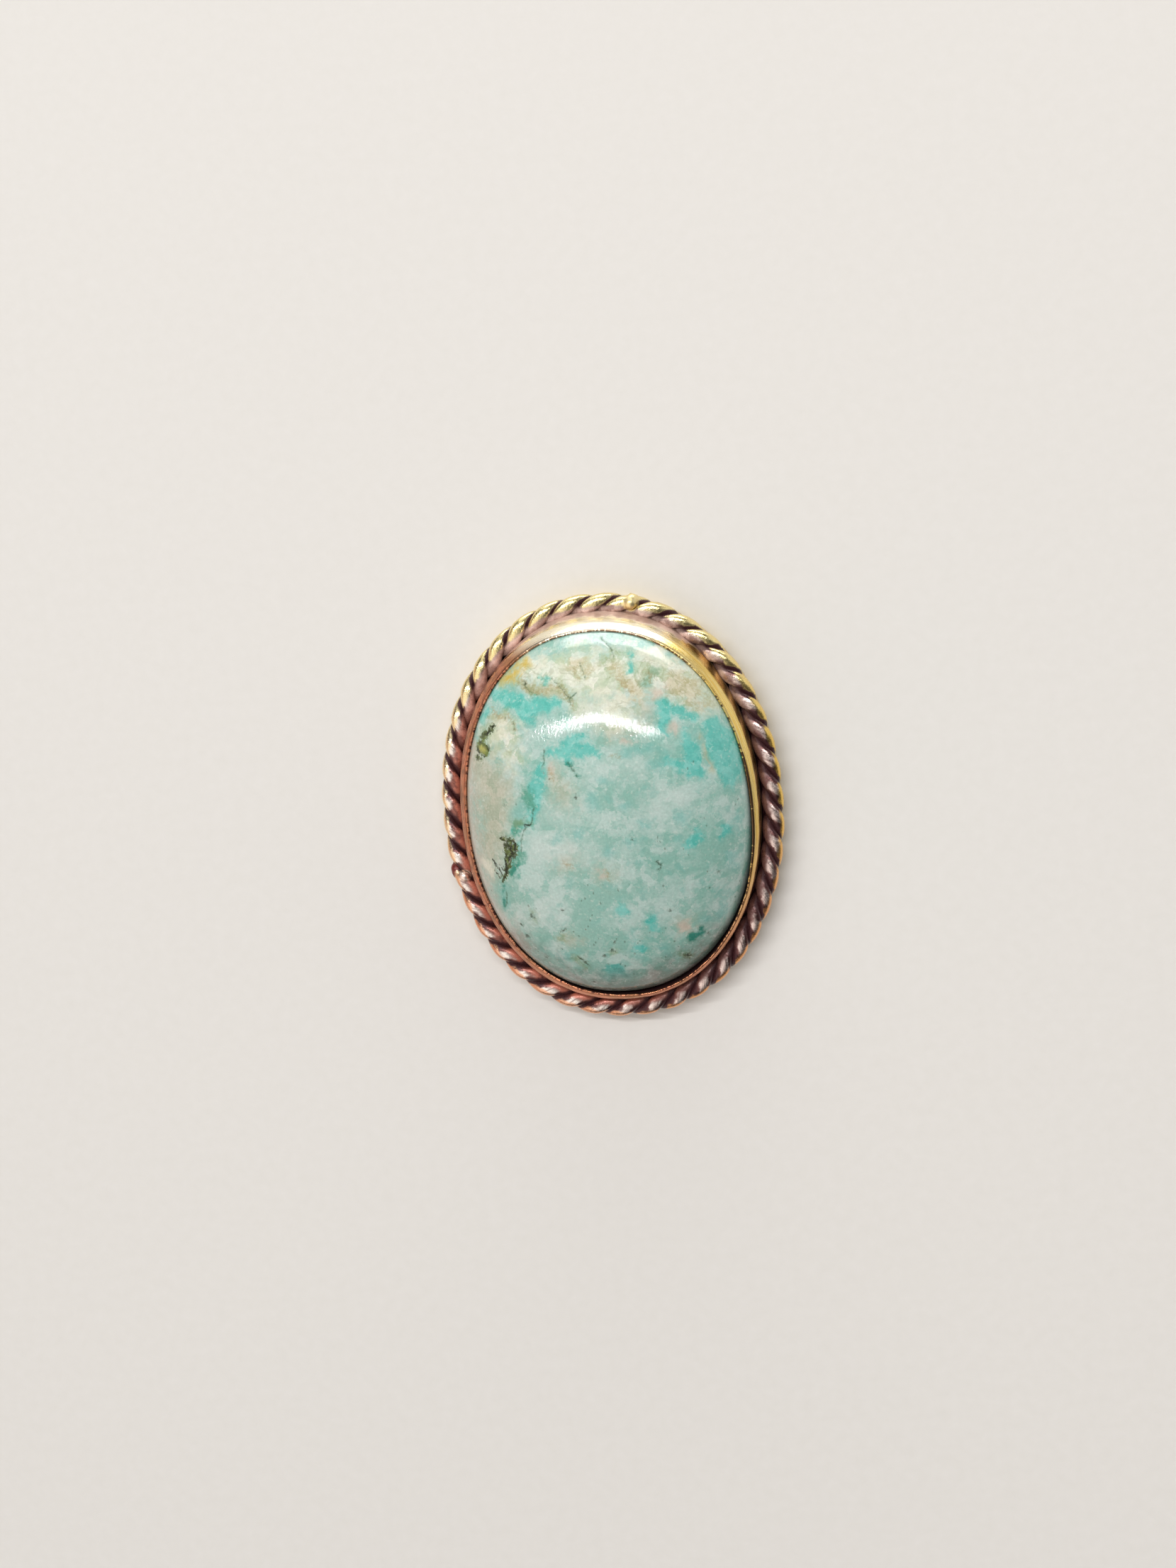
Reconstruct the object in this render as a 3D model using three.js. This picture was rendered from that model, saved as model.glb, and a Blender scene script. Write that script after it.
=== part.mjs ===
// An oval turquoise cabochon in a brass bezel setting with a twisted-wire border, lying on its back plate.
// Millimetres, +Z up. The origin is at the middle of the back plate's underside, +Y runs along the oval.
import * as THREE from "three";

// Driving dimensions
const STONE_WIDTH = 15.2;
const STONE_LENGTH = 19.6;
const OVAL_POWER = 2.12; // 2 is a true ellipse, and a little more squares its shoulders
const GIRDLE_HEIGHT = 1.2; // the stone's upright side, below its dome
const DOME_HEIGHT = 4.3;
const PLATE_THICKNESS = 0.8;
const BEZEL_WALL = 0.32;
const BEZEL_HEIGHT = 2.2; // from the plate to the top of the lip
const LIP_REACH = 0.16; // how far the lip leans in over the stone's girdle
const STRAND_DIAMETER = 0.6;
const ROPE_TURNS = 21; // whole turns of each strand round the oval
const SOLDER_GAP = 0.02; // room for solder, cement or burnishing between pieces that touch

// Facets
const OVAL_STEPS = 84;
const DOME_RINGS = 9;
const STRAND_STEPS_PER_TURN = 8;
const STRAND_SIDES = 8;

// Places worked out from the driving dimensions; offsets run outwards from the stone's girdle
const girdleFoot = PLATE_THICKNESS + SOLDER_GAP;
const girdleTop = girdleFoot + GIRDLE_HEIGHT;
const bezelFoot = PLATE_THICKNESS + SOLDER_GAP;
const bezelTop = PLATE_THICKNESS + BEZEL_HEIGHT;
const bezelInside = SOLDER_GAP;
const bezelOutside = bezelInside + BEZEL_WALL;
const strandRadius = STRAND_DIAMETER / 2;
const strandOrbit = strandRadius + SOLDER_GAP / 2; // from the rope's middle to a strand's middle
const ropeRadius = strandOrbit + strandRadius;
const ropeOffset = bezelOutside + SOLDER_GAP + ropeRadius;
const ropeMiddleHeight = PLATE_THICKNESS + SOLDER_GAP + ropeRadius;
const plateEdge = ropeOffset + strandOrbit;
const plateChamfer = 0.15;

const brass = { color: 0xc79a45, roughness: 0.3, metalness: 1 };
const brassMaterial = new THREE.MeshStandardMaterial(brass);
const ropeMaterial = new THREE.MeshStandardMaterial({ ...brass, color: 0xa97c3c, roughness: 0.35 });
const stoneMaterial = new THREE.MeshStandardMaterial({ color: 0x93bfb1, roughness: 0.25, metalness: 0 });

// The girdle's point at an angle, with its outward normal. The outline is a superellipse.
function girdleAt(angle) {
  const rounded = (value, power) => Math.sign(value) * Math.abs(value) ** power;
  const cos = Math.cos(angle);
  const sin = Math.sin(angle);
  const point = new THREE.Vector2(
    (STONE_WIDTH / 2) * rounded(cos, 2 / OVAL_POWER),
    (STONE_LENGTH / 2) * rounded(sin, 2 / OVAL_POWER),
  );
  const bend = 2 - 2 / OVAL_POWER;
  const normal = new THREE.Vector2(
    rounded(cos, bend) / STONE_WIDTH,
    rounded(sin, bend) / STONE_LENGTH,
  ).normalize();
  return { point, normal };
}

// Turns a profile round the Z axis and moves each vertex from its circle to the oval.
// place(girdle, radius) gives the vertex's X and Y for the profile's own radius.
function ovalSolid(profile, place) {
  const points = profile.map(([radius, height]) => new THREE.Vector2(radius, height));
  const geometry = new THREE.LatheGeometry(points, OVAL_STEPS).rotateX(Math.PI / 2);
  const position = geometry.getAttribute("position");
  for (let i = 0; i < position.count; i++) {
    const x = position.getX(i);
    const y = position.getY(i);
    const placed = place(girdleAt(Math.atan2(y, x)), Math.hypot(x, y));
    position.setXY(i, placed.x, placed.y);
  }
  geometry.computeVertexNormals();
  return geometry;
}

// Profiles of a ring are written with their offset from the girdle. The lathe needs a radius above zero.
const LATHE_RADIUS = 5;
function ovalRing(section) {
  const closed = [...section, section[0]].map(([offset, height]) => [LATHE_RADIUS + offset, height]);
  return ovalSolid(closed, ({ point, normal }, radius) =>
    point.clone().addScaledVector(normal, radius - LATHE_RADIUS),
  );
}

// The stone: an upright girdle under a dome, its radius written as a share of the girdle's.
function stoneGeometry() {
  const profile = [
    [0, girdleFoot],
    [1, girdleFoot],
  ];
  for (let ring = 0; ring <= DOME_RINGS; ring++) {
    const rise = (ring / DOME_RINGS) * (Math.PI / 2);
    const share = ring === DOME_RINGS ? 0 : Math.cos(rise);
    profile.push([share, girdleTop + DOME_HEIGHT * Math.sin(rise)]);
  }
  return ovalSolid(profile, ({ point }, share) => point.clone().multiplyScalar(share));
}

// The bezel: a strip standing round the girdle, its upper edge burnished in over the dome.
function bezelGeometry() {
  const lipTurn = girdleTop + 0.25; // where the strip starts to lean in
  const lipRound = 0.12;
  return ovalRing([
    [bezelInside, bezelFoot],
    [bezelOutside, bezelFoot],
    [bezelOutside, lipTurn],
    [bezelOutside - LIP_REACH / 2, bezelTop - lipRound],
    [bezelOutside - LIP_REACH / 2 - lipRound, bezelTop],
    [SOLDER_GAP - LIP_REACH + lipRound, bezelTop],
    [SOLDER_GAP - LIP_REACH, bezelTop - lipRound / 2],
    [bezelInside, lipTurn],
  ]);
}

// The back plate: an oval sheet under the stone, the bezel and the border, its edges eased.
function plateGeometry() {
  const rim = LATHE_RADIUS + plateEdge;
  const profile = [
    [0, 0],
    [rim - plateChamfer, 0],
    [rim, plateChamfer],
    [rim, PLATE_THICKNESS - plateChamfer],
    [rim - plateChamfer, PLATE_THICKNESS],
    [0, PLATE_THICKNESS],
  ];
  return ovalSolid(profile, ({ point, normal }, radius) => {
    const edge = point.clone().addScaledVector(normal, plateEdge - (rim - radius));
    return radius > LATHE_RADIUS ? edge : new THREE.Vector2(0, 0);
  });
}

// The line along the middle of the twisted border, evenly stepped along its length.
function ropeLine() {
  const points = [];
  for (let step = 0; step < OVAL_STEPS; step++) {
    const { point, normal } = girdleAt((step / OVAL_STEPS) * 2 * Math.PI);
    point.addScaledVector(normal, ropeOffset);
    points.push(new THREE.Vector3(point.x, point.y, ropeMiddleHeight));
  }
  return new THREE.CatmullRomCurve3(points, true);
}

// One strand of the border, wound left-handed round the rope's line and closing on itself.
class StrandCurve extends THREE.Curve {
  constructor(line, phase) {
    super();
    this.line = line;
    this.phase = phase;
    this.arcLengthDivisions = ROPE_TURNS * STRAND_STEPS_PER_TURN * 4;
  }

  getPoint(t, target = new THREE.Vector3()) {
    const share = t % 1;
    const along = this.line.getTangentAt(share);
    const outward = new THREE.Vector3(along.y, -along.x, 0).normalize();
    const turn = share * ROPE_TURNS * 2 * Math.PI + this.phase;
    target.copy(this.line.getPointAt(share));
    target.addScaledVector(outward, strandOrbit * Math.cos(turn));
    target.z += strandOrbit * Math.sin(turn);
    return target;
  }
}

function strandGeometry(line, phase) {
  const steps = ROPE_TURNS * STRAND_STEPS_PER_TURN;
  return new THREE.TubeGeometry(new StrandCurve(line, phase), steps, strandRadius, STRAND_SIDES, true);
}

function addPiece(group, name, geometry, material) {
  const mesh = new THREE.Mesh(geometry, material);
  mesh.name = name;
  group.add(mesh);
}

const setting = new THREE.Group();
const rope = ropeLine();
addPiece(setting, "back_plate", plateGeometry(), brassMaterial);
addPiece(setting, "bezel", bezelGeometry(), brassMaterial);
addPiece(setting, "twisted_wire_a", strandGeometry(rope, 0), ropeMaterial);
addPiece(setting, "twisted_wire_b", strandGeometry(rope, Math.PI), ropeMaterial);
addPiece(setting, "turquoise_stone", stoneGeometry(), stoneMaterial);

export default setting;
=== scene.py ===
import math

import bpy
import numpy as np
from mathutils import Matrix, Vector, noise


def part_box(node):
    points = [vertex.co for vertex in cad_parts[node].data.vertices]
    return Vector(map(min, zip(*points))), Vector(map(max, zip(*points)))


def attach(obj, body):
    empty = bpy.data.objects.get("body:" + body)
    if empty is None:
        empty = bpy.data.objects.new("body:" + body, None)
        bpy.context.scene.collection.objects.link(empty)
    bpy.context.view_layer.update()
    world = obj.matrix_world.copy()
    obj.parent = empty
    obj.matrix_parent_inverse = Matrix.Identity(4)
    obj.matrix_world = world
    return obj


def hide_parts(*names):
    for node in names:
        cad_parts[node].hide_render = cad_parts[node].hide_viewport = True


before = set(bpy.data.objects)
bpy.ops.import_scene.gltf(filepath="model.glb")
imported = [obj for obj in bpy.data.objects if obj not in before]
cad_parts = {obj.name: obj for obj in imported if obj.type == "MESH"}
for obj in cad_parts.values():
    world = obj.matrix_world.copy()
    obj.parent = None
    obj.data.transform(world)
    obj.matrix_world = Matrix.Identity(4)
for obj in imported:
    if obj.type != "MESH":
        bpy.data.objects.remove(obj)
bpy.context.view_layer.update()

MM = 0.001
FULL_TURN = 2 * math.pi


def box_mm(node):
    """The node's lowest and highest corner in millimetres."""
    low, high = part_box(node)
    return np.array(low) / MM, np.array(high) / MM


# Sizes from the frame, in millimetres. Offsets run outwards from the stone's girdle.
stone_low, stone_high = box_mm("turquoise_stone")
bezel_low, bezel_high = box_mm("bezel")
plate_low, plate_high = box_mm("back_plate")
wire_low, wire_high = box_mm("twisted_wire_a")

HALF_WIDTH = stone_high[0]
HALF_LENGTH = stone_high[1]
OVAL_POWER = 2.12  # as the stone's outline was cut: 2 is a true ellipse
GIRDLE_HEIGHT = 1.2
girdle_top = stone_low[2] + GIRDLE_HEIGHT
dome_height = stone_high[2] - girdle_top

bezel_outside = bezel_high[0] - HALF_WIDTH
SOLDER_GAP = 0.02
LIP_REACH = 0.16

ROPE_TURNS = 21
rope_outside = wire_high[0] - HALF_WIDTH
rope_offset = (bezel_outside + SOLDER_GAP + rope_outside) / 2
rope_radius = rope_outside - rope_offset
rope_middle = plate_high[2] + SOLDER_GAP + rope_radius
strand_radius = (rope_radius - SOLDER_GAP / 2) / 2
strand_orbit = rope_radius - strand_radius
plate_offset = plate_high[0] - HALF_WIDTH


# The outline


def signed_power(value, power):
    return np.sign(value) * np.abs(value) ** power


def oval(angle, offset=0.0):
    """Points of the girdle's outline at these angles, moved out by offset, and their outward normals."""
    cos, sin = np.cos(angle), np.sin(angle)
    point = np.stack(
        [HALF_WIDTH * signed_power(cos, 2 / OVAL_POWER), HALF_LENGTH * signed_power(sin, 2 / OVAL_POWER)], -1
    )
    bend = 2 - 2 / OVAL_POWER
    normal = np.stack([signed_power(cos, bend) / HALF_WIDTH, signed_power(sin, bend) / HALF_LENGTH], -1)
    normal /= np.linalg.norm(normal, axis=-1, keepdims=True)
    return point + normal * np.asarray(offset)[..., None], normal


def even_angles(count, offset):
    """Angles whose points lie evenly along the outline's length, from the +X side towards +Y."""
    fine = np.linspace(0, FULL_TURN, 4001)
    steps = np.linalg.norm(np.diff(oval(fine, offset)[0], axis=0), axis=1)
    travelled = np.concatenate([[0], np.cumsum(steps)])
    return np.interp(np.linspace(0, travelled[-1], count, endpoint=False), travelled, fine)


def bump_at(angle, middle, width):
    """A smooth hill of height 1 round one angle of the outline, all in degrees."""
    away = (np.degrees(angle) - middle + 180) % 360 - 180
    return np.exp(-((away / width) ** 2))


def ring_noise(angle, pitch, seed=0.0):
    """Smooth noise from about -1 to 1 round the outline, its features about pitch millimetres long."""
    reach = (HALF_WIDTH + HALF_LENGTH) / 2 / pitch
    return np.array([noise.noise((reach * math.cos(a), reach * math.sin(a), seed)) for a in angle])


# Meshes


def wrapped_faces(columns, rows):
    """Quads of a grid of columns by rows points that closes on itself both ways."""
    i, j = np.meshgrid(np.arange(columns), np.arange(rows), indexing="ij")
    k, m = (i + 1) % columns, (j + 1) % rows
    return np.stack([i * rows + j, k * rows + j, k * rows + m, i * rows + m], -1).reshape(-1, 4).tolist()


def add_piece(name, points, faces, material, node, fields=None):
    """A smooth mesh piece that stands for a CAD node, with its named fields as vertex attributes."""
    mesh = bpy.data.meshes.new(name)
    mesh.from_pydata((np.asarray(points) * MM).tolist(), [], faces)
    mesh.shade_smooth()
    for field, values in (fields or {}).items():
        vector = np.ndim(values) == 2
        made = mesh.attributes.new(field, "FLOAT_VECTOR" if vector else "FLOAT", "POINT")
        made.data.foreach_set("vector" if vector else "value", np.asarray(values, np.float32).ravel())
    mesh.materials.append(material)
    piece = bpy.data.objects.new(name, mesh)
    bpy.context.scene.collection.objects.link(piece)
    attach(piece, "root")
    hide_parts(node)
    return piece


# Materials


class Nodes:
    """A node tree, with short calls for the nodes used here. A value is a number, a tuple or another node's output."""

    def __init__(self, tree):
        self.tree = tree

    def feed(self, socket, value):
        if isinstance(value, bpy.types.NodeSocket):
            self.tree.links.new(value, socket)
        else:
            socket.default_value = value

    def node(self, kind, inputs=None, **settings):
        made = self.tree.nodes.new("ShaderNode" + kind)
        for name, value in settings.items():
            setattr(made, name, value)
        for name, value in (inputs or {}).items():
            self.feed(made.inputs[name], value)
        return made

    def math(self, operation, a, b=0.0):
        return self.node("Math", {0: a, 1: b}, operation=operation).outputs[0]

    def vector(self, operation, a, b, output=0):
        return self.node("VectorMath", {0: a, 1: b}, operation=operation).outputs[output]

    def axis(self, vector, index):
        return self.node("SeparateXYZ", {0: vector}).outputs[index]

    def noise(self, vector, scale, detail=3.0, roughness=0.55, distortion=0.0):
        values = {"Vector": vector, "Scale": scale, "Detail": detail, "Roughness": roughness, "Distortion": distortion}
        return self.node("TexNoise", values).outputs[0]

    def remap(self, value, low, high, to_low=0.0, to_high=1.0):
        """value between low and high, eased into the range from to_low to to_high."""
        values = {"Value": value, "From Min": low, "From Max": high, "To Min": to_low, "To Max": to_high}
        return self.node("MapRange", values, interpolation_type="SMOOTHSTEP").outputs[0]

    def blend(self, factor, a, b, blend_type="MIX"):
        return self.node("Mix", {0: factor, 6: a, 7: b}, data_type="RGBA", blend_type=blend_type).outputs[2]


class Surface(Nodes):
    """A material with one Principled shader. mm is the place on the object in millimetres."""

    def __init__(self, name, **constants):
        self.material = bpy.data.materials.new(name)
        self.material.use_nodes = True
        super().__init__(self.material.node_tree)
        self.shader = self.tree.nodes["Principled BSDF"]
        self.set(**constants)
        self.mm = self.vector("MULTIPLY", self.node("TexCoord").outputs["Object"], (1 / MM, 1 / MM, 1 / MM))

    def set(self, **inputs):
        for name, value in inputs.items():
            self.feed(self.shader.inputs[name.replace("_", " ")], value)

    def field(self, name, output="Fac"):
        return self.node("Attribute", attribute_name=name).outputs[output]

    def stretch(self, vector, scale):
        return self.vector("MULTIPLY", vector, scale)

    def bump(self, height, distance_mm, strength=1.0):
        values = {"Height": height, "Distance": distance_mm * MM, "Strength": strength}
        self.set(Normal=self.node("Bump", values).outputs[0])


def rgb(red, green, blue):
    return (red, green, blue, 1.0)


# The stone's markings: strokes of round spots, each (x, y, radius) in millimetres seen from above
TURQUOISE = [
    # the cloud at the upper left and its outliers
    [(-5.1, 6.7, 0.3), (-4.5, 6.5, 0.4), (-3.8, 6.2, 0.46), (-3.1, 6.0, 0.5), (-2.4, 6.05, 0.42), (-1.8, 6.2, 0.24)],
    [(-3.6, 5.75, 0.34), (-3.1, 5.5, 0.28)],
    [(-2.3, 7.35, 0.2)],
    [(-6.0, 5.2, 0.2), (-5.6, 5.8, 0.2)],
    # the cloud left of the middle
    [(-2.1, 3.8, 0.2), (-1.5, 3.75, 0.3), (-0.8, 3.85, 0.4), (-0.2, 3.8, 0.38), (0.15, 3.5, 0.22), (0.2, 3.25, 0.12)],
    [(-1.3, 3.6, 0.25), (-1.2, 3.3, 0.12)],
    [(-0.9, 4.3, 0.24), (-0.3, 4.4, 0.2)],
    # the band that runs down the left side
    [(-2.6, 2.8, 0.3), (-2.8, 2.2, 0.36), (-3.1, 1.7, 0.5), (-3.2, 1.1, 0.32), (-3.4, 0.6, 0.24), (-3.6, 0.1, 0.2)],
    [(-3.6, 0.1, 0.18), (-4.1, -0.05, 0.2), (-4.5, -0.3, 0.14)],
    [(-4.35, -1.1, 0.16)],
    [(-4.65, -2.1, 0.24)],
    # the clouds at the right
    [(3.75, 5.75, 0.3), (3.85, 5.2, 0.4), (3.75, 4.7, 0.28), (4.05, 4.2, 0.16)],
    [(4.35, 5.3, 0.28), (4.8, 5.05, 0.18), (5.2, 4.75, 0.15)],
    [(4.75, 4.1, 0.24), (4.9, 3.5, 0.36), (4.95, 2.8, 0.4), (5.1, 2.2, 0.32), (5.3, 1.8, 0.16)],
    [(4.9, 2.4, 0.28), (4.3, 2.55, 0.22), (3.8, 2.7, 0.14)],
    [(6.0, 4.3, 0.36), (6.35, 3.7, 0.6), (6.5, 2.9, 0.72), (6.7, 2.1, 0.6), (6.85, 1.4, 0.38)],
    [(2.1, 8.2, 0.12), (2.15, 7.5, 0.14)],
    # strong spots lower down
    [(0.8, -4.5, 0.2), (0.95, -4.75, 0.22)],
    [(2.3, -5.3, 0.22), (2.35, -5.8, 0.14)],
    [(1.25, -6.75, 0.2), (1.6, -6.8, 0.2)],
    [(-0.2, -8.15, 0.34), (0.25, -8.1, 0.26)],
    [(5.0, -1.05, 0.26), (4.5, -1.5, 0.2)],
    [(6.35, -1.1, 0.28)],
]
FAINT_TURQUOISE = [
    [(-1.0, -0.35, 0.24), (-1.05, -0.7, 0.2)],
    [(-2.1, -0.65, 0.22)],
    [(-0.2, 1.4, 0.2), (-0.15, 0.95, 0.18)],
    [(0.45, 2.1, 0.2), (0.75, 1.95, 0.1)],
    [(1.5, 0.9, 0.2)],
    [(1.7, -1.1, 0.2)],
    [(3.0, 3.55, 0.25), (1.8, 3.5, 0.2)],
    [(3.0, 2.75, 0.25), (3.5, 2.7, 0.2)],
    [(0.5, -1.6, 0.2)],
    [(2.3, -0.3, 0.25)],
    [(4.35, -0.05, 0.3), (4.4, -0.4, 0.16)],
    [(6.8, -0.6, 0.25)],
    [(6.55, -2.6, 0.3), (6.6, -3.0, 0.2)],
    [(0.3, -3.15, 0.2), (0.6, -3.25, 0.1)],
    [(2.65, -7.0, 0.16), (2.7, -7.3, 0.1)],
    [(-2.4, -7.0, 0.34), (-1.9, -6.95, 0.16)],
    [(-0.5, -8.6, 0.3), (0.5, -8.5, 0.25)],
    [(3.0, 6.8, 0.25), (3.3, 7.4, 0.16)],
    [(-1.4, 5.7, 0.16), (-1.1, 5.4, 0.12)],
    [(4.75, -5.85, 0.2)],
    [(5.85, -5.2, 0.2), (5.7, -5.6, 0.2)],
    [(-5.45, -3.2, 0.2), (-5.5, -3.8, 0.22), (-5.7, -4.5, 0.12)],
    [(-4.9, -2.6, 0.2), (-4.4, -1.6, 0.2)],
    [(-4.2, 0.6, 0.3), (-3.8, 1.2, 0.3)],
]
TEAL = [
    [(-1.25, 3.15, 0.05), (-0.7, 2.5, 0.06)],
    [(4.15, -6.55, 0.3), (4.5, -6.45, 0.24)],
    [(-4.6, -2.15, 0.1), (-4.9, -2.6, 0.12)],
    [(-5.5, -3.3, 0.05), (-5.55, -3.9, 0.06), (-5.75, -4.5, 0.04)],
]
GREEN = [
    [(-3.8, 1.8, 0.22), (-3.45, 1.5, 0.32), (-3.4, 1.1, 0.2)],
    [(-4.2, 0.0, 0.2), (-4.4, -0.4, 0.16)],
    [(-4.3, -1.5, 0.16), (-4.6, -2.2, 0.2), (-5.0, -2.7, 0.16)],
]
WARM = [
    [(-6.4, 3.2, 1.0), (-5.4, 1.6, 1.2), (-5.7, -0.6, 0.9), (-6.3, -2.4, 0.5)],
    [(-2.0, 2.6, 0.3), (-1.5, 1.5, 0.5)],
    [(1.0, 4.6, 0.3), (2.4, 4.6, 0.3), (2.8, 5.3, 0.35)],
    [(-1.8, -1.9, 0.3)],
    [(-2.1, -6.3, 0.3)],
    [(3.9, -5.85, 0.25)],
    [(0.2, -2.7, 0.2)],
]
ROSY_REFLECTION = [
    # a painted pink reflection along the left edge
    [(-6.9, 4.0, 0.3), (-7.4, 2.0, 0.7), (-7.5, -0.2, 0.8), (-7.1, -2.6, 0.7), (-6.4, -4.8, 0.5), (-5.2, -6.8, 0.4)],
]
RIM_SHADE = [
    # painted shade along the lower rim, with a pinkish painted reflection in it
    [(-5.6, -6.6, 0.4), (-3.8, -8.4, 0.7), (-1.4, -9.4, 0.9), (1.2, -9.5, 0.9), (3.6, -8.7, 0.8), (5.4, -7.0, 0.4)],
]
PALE = [
    [(-3.4, 7.9, 0.5), (-2.4, 7.6, 0.8), (-0.6, 7.6, 1.2), (1.2, 7.3, 1.2), (3.2, 7.4, 1.1), (4.9, 6.4, 0.9), (6.0, 5.3, 0.5)],
    [(-5.5, 4.6, 0.6), (-4.6, 4.9, 0.7), (-4.2, 3.6, 0.5)],
    [(-0.5, 5.9, 0.6), (1.5, 5.6, 0.8)],
]
MILKY = [
    [(0.6, 2.9, 0.3), (1.6, 3.0, 0.5), (2.4, 2.4, 0.4)],
    [(-3.0, -1.2, 0.4), (-1.6, -1.2, 0.4), (-0.4, -1.6, 0.3)],
    [(3.0, 0.8, 0.5), (4.2, 1.0, 0.4)],
    [(-2.4, 0.6, 0.4), (-1.2, 0.2, 0.3)],
    [(-4.6, -5.2, 0.5), (-3.0, -4.6, 0.5)],
    [(-1.0, 5.0, 0.3), (0.4, 5.4, 0.4)],
]
BEIGE = [
    [(4.3, 6.6, 0.5), (5.0, 6.2, 0.4), (5.5, 5.3, 0.3)],
    [(1.5, 7.5, 0.3), (2.0, 6.9, 0.35), (2.6, 6.4, 0.35)],
    [(-3.4, 7.2, 0.25), (-2.8, 6.75, 0.24), (-2.0, 6.8, 0.25), (-1.3, 6.6, 0.22)],
    [(-0.6, 8.0, 0.3), (0.2, 7.6, 0.2)],
    [(-5.3, 5.5, 0.16), (-4.9, 5.6, 0.1)],
    [(5.6, 3.9, 0.08), (5.7, 2.8, 0.12), (5.75, 2.0, 0.06)],
]
PINK = [
    [(4.3, 4.5, 0.24), (4.4, 4.2, 0.2)],
    [(-2.2, 2.9, 0.14), (-2.05, 2.6, 0.1)],
    [(1.9, 4.0, 0.16), (2.2, 3.9, 0.12)],
    [(3.3, 6.2, 0.2), (3.9, 6.5, 0.2)],
    [(3.85, -5.95, 0.3), (4.1, -6.1, 0.2)],
    [(0.1, -2.65, 0.14), (0.3, -2.9, 0.1)],
]
YELLOW = [
    [(-4.7, 7.3, 0.2), (-4.1, 7.8, 0.3), (-3.5, 8.2, 0.16)],
]
CREAM = [
    [(2.6, 8.4, 0.35), (3.6, 8.0, 0.35), (4.4, 7.4, 0.2)],
    [(-2.6, 8.1, 0.26), (-2.3, 8.3, 0.18)],
    [(-1.5, 7.6, 0.2)],
    [(0.4, 7.1, 0.18)],
    [(0.6, 6.4, 0.3), (1.4, 5.9, 0.4)],
    [(-4.7, 5.3, 0.36), (-4.6, 4.7, 0.3)],
    [(-3.5, 5.2, 0.16)],
    [(-6.25, -2.1, 0.2), (-6.2, -2.5, 0.22)],
]
MOSS = [
    # greenish stains in the pale stone
    [(0.7, 8.1, 0.16), (1.1, 8.15, 0.14), (1.4, 8.3, 0.1)],
    [(-1.6, 7.2, 0.12), (-1.2, 6.7, 0.14), (-0.9, 6.3, 0.12)],
    [(-3.6, 7.3, 0.12), (-3.1, 6.9, 0.12), (-2.6, 6.7, 0.1)],
    [(2.9, 7.2, 0.2), (3.3, 7.3, 0.2)],
    [(-5.9, 4.9, 0.2), (-5.3, 5.4, 0.16), (-4.6, 5.7, 0.1)],
    [(-4.1, 0.1, 0.2), (-3.6, 0.1, 0.12)],
    [(-3.9, -4.9, 0.16)],
    [(-2.6, -6.0, 0.2)],
    [(-1.9, -7.3, 0.2), (-1.5, -7.7, 0.12)],
    [(0.2, -6.9, 0.2)],
    [(3.6, -7.6, 0.2), (3.9, -7.8, 0.12)],
]
BROWN = [
    # stained veins in the pale stone
    [(-3.65, 7.45, 0.04), (-3.45, 7.05, 0.07), (-2.95, 6.7, 0.08), (-2.3, 6.72, 0.06), (-1.9, 6.95, 0.03)],
    [(-1.6, 7.0, 0.03), (-1.2, 6.55, 0.05), (-0.85, 6.2, 0.05), (-0.75, 5.85, 0.03)],
    [(-5.35, 6.0, 0.03), (-4.95, 5.6, 0.05), (-4.7, 5.5, 0.03)],
    [(-4.35, 5.65, 0.03), (-4.05, 5.25, 0.05), (-3.95, 4.9, 0.03)],
    [(1.5, 7.2, 0.05), (1.9, 6.75, 0.08), (2.3, 6.4, 0.05)],
    [(2.9, 7.4, 0.03), (3.2, 7.1, 0.05), (3.15, 6.8, 0.03)],
    [(-2.15, 2.85, 0.03), (-2.1, 2.4, 0.05)],
    [(1.1, 3.4, 0.04), (1.4, 3.3, 0.05)],
    [(-1.8, -2.0, 0.05), (-1.5, -2.2, 0.06)],
    [(0.3, -2.5, 0.05), (0.35, -2.9, 0.05)],
]
OLIVE = [
    # the large inclusion low on the left side
    [(-5.2, -0.72, 0.13), (-4.65, -0.78, 0.14)],
    [(-5.0, -1.05, 0.2), (-4.55, -1.15, 0.24)],
    [(-4.95, -1.4, 0.22), (-4.62, -1.48, 0.2)],
    [(-4.92, -1.75, 0.22), (-5.02, -2.1, 0.18), (-5.25, -2.6, 0.12), (-5.45, -2.95, 0.05)],
    # the ringed one near the left edge, with its tails
    [(-6.05, 4.0, 0.36), (-5.85, 3.85, 0.3)],
    [(-5.95, 4.5, 0.2), (-5.6, 4.8, 0.14), (-5.25, 5.1, 0.1)],
    [(-6.35, 3.45, 0.12), (-6.1, 3.35, 0.08)],
    [(3.65, -7.6, 0.1), (3.85, -7.75, 0.08)],
]
LIME = [
    # the yellow-green fillings of the inclusions
    [(-6.1, 3.95, 0.14), (-5.9, 3.85, 0.12)],
]
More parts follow.
